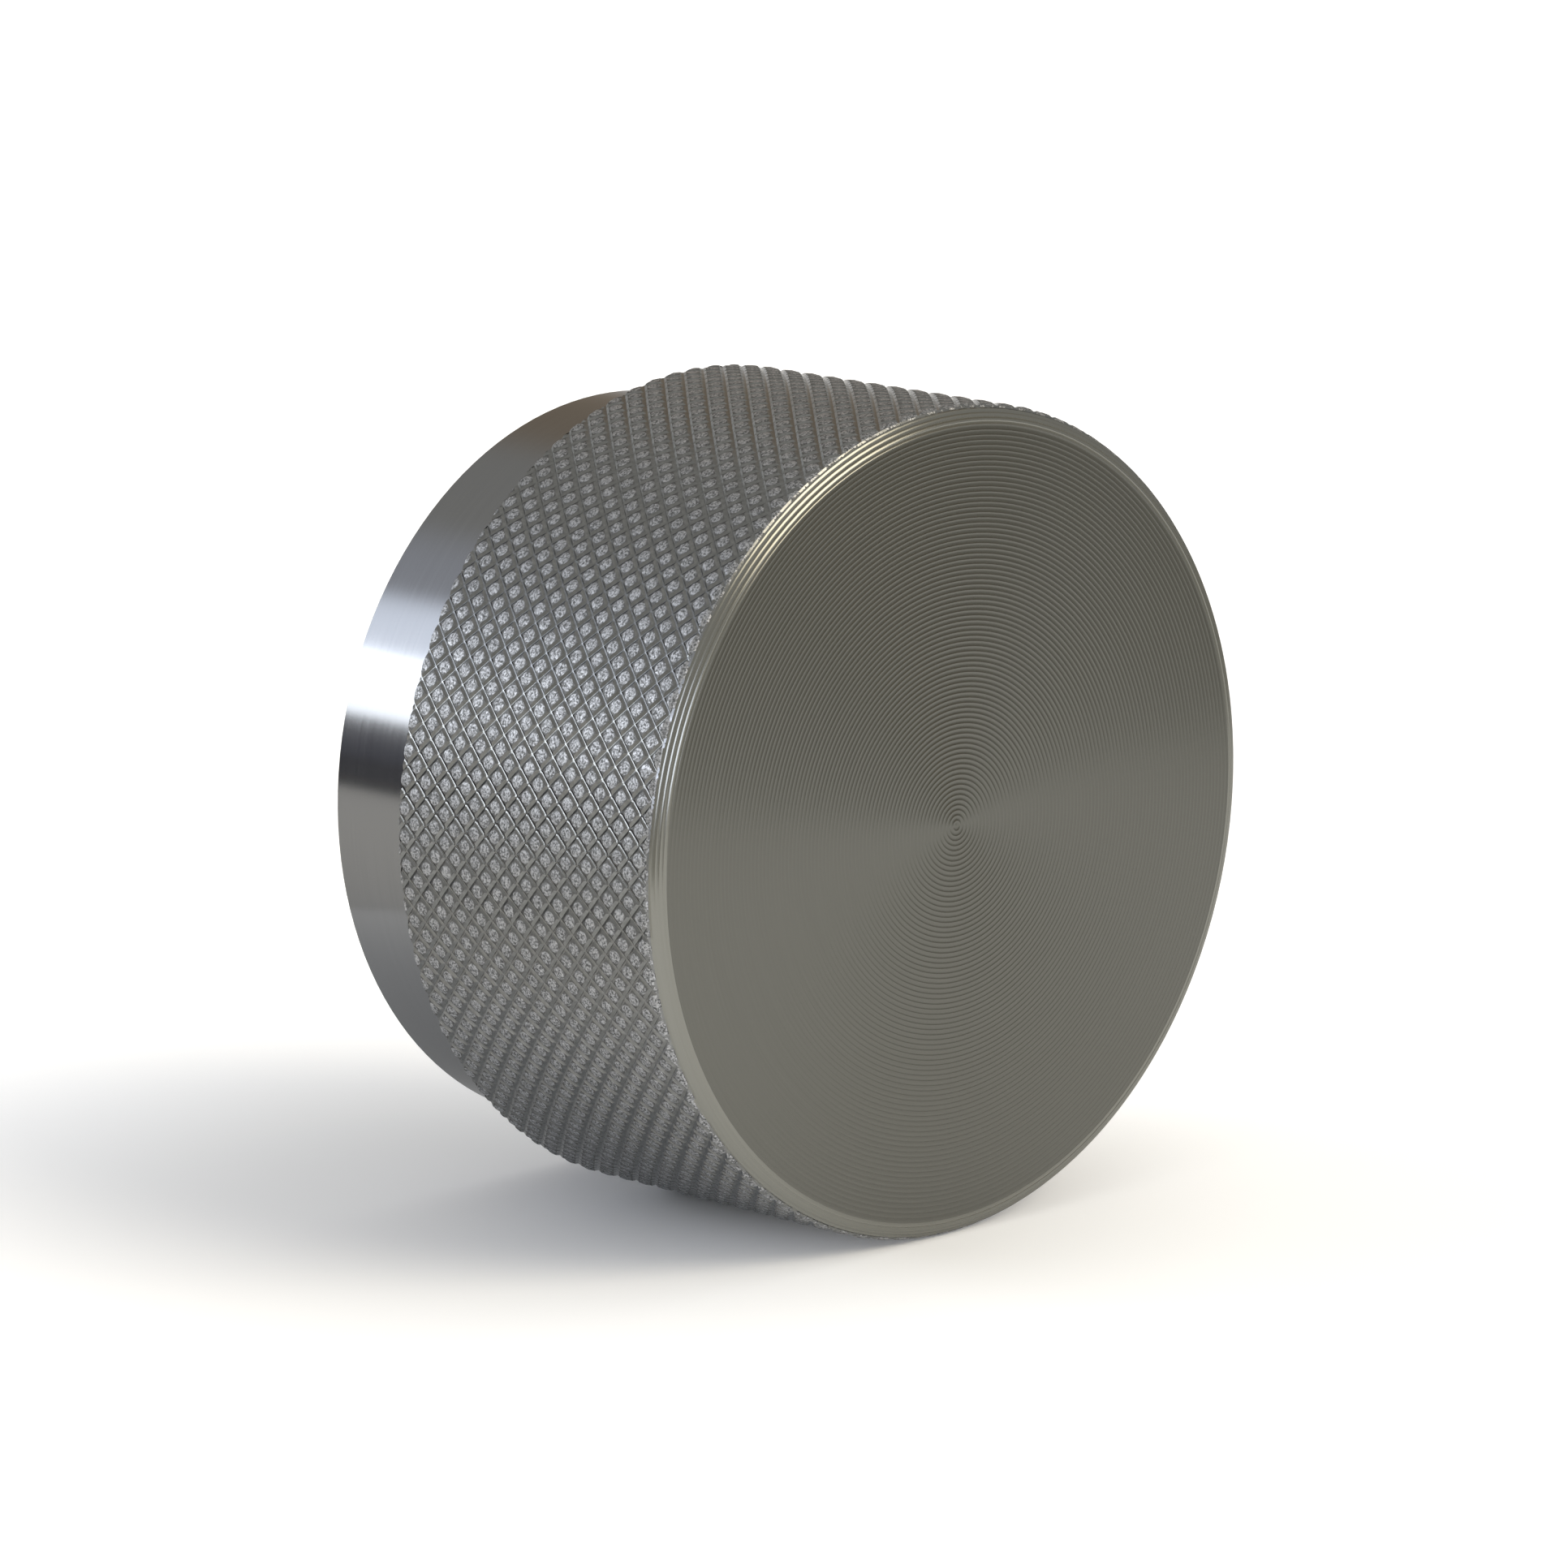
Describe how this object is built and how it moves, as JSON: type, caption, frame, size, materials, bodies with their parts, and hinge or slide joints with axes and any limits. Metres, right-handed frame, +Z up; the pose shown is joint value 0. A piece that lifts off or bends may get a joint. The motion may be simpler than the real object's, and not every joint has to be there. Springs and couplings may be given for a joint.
{
  "type": "cabinet knob",
  "caption": "Round turned cabinet knob with a diamond-knurled grip band, a flat face with turning marks and a smooth base ring, held by a screw from behind.",
  "frame": {"origin": "centre of the flat back face, where the knob meets the door or drawer front", "axes": "-Y out of the door along the knob's axis, towards the hand, +Y into the door, +Z up"},
  "size_m": [0.033, 0.0197, 0.033],
  "materials": {
    "turned_steel": "stainless steel as turned, with fine feed marks on the face and a rolled diamond knurl on the grip"
  },
  "bodies": {
    "root": {"knob": "turned_steel"}
  },
  "joints": []
}
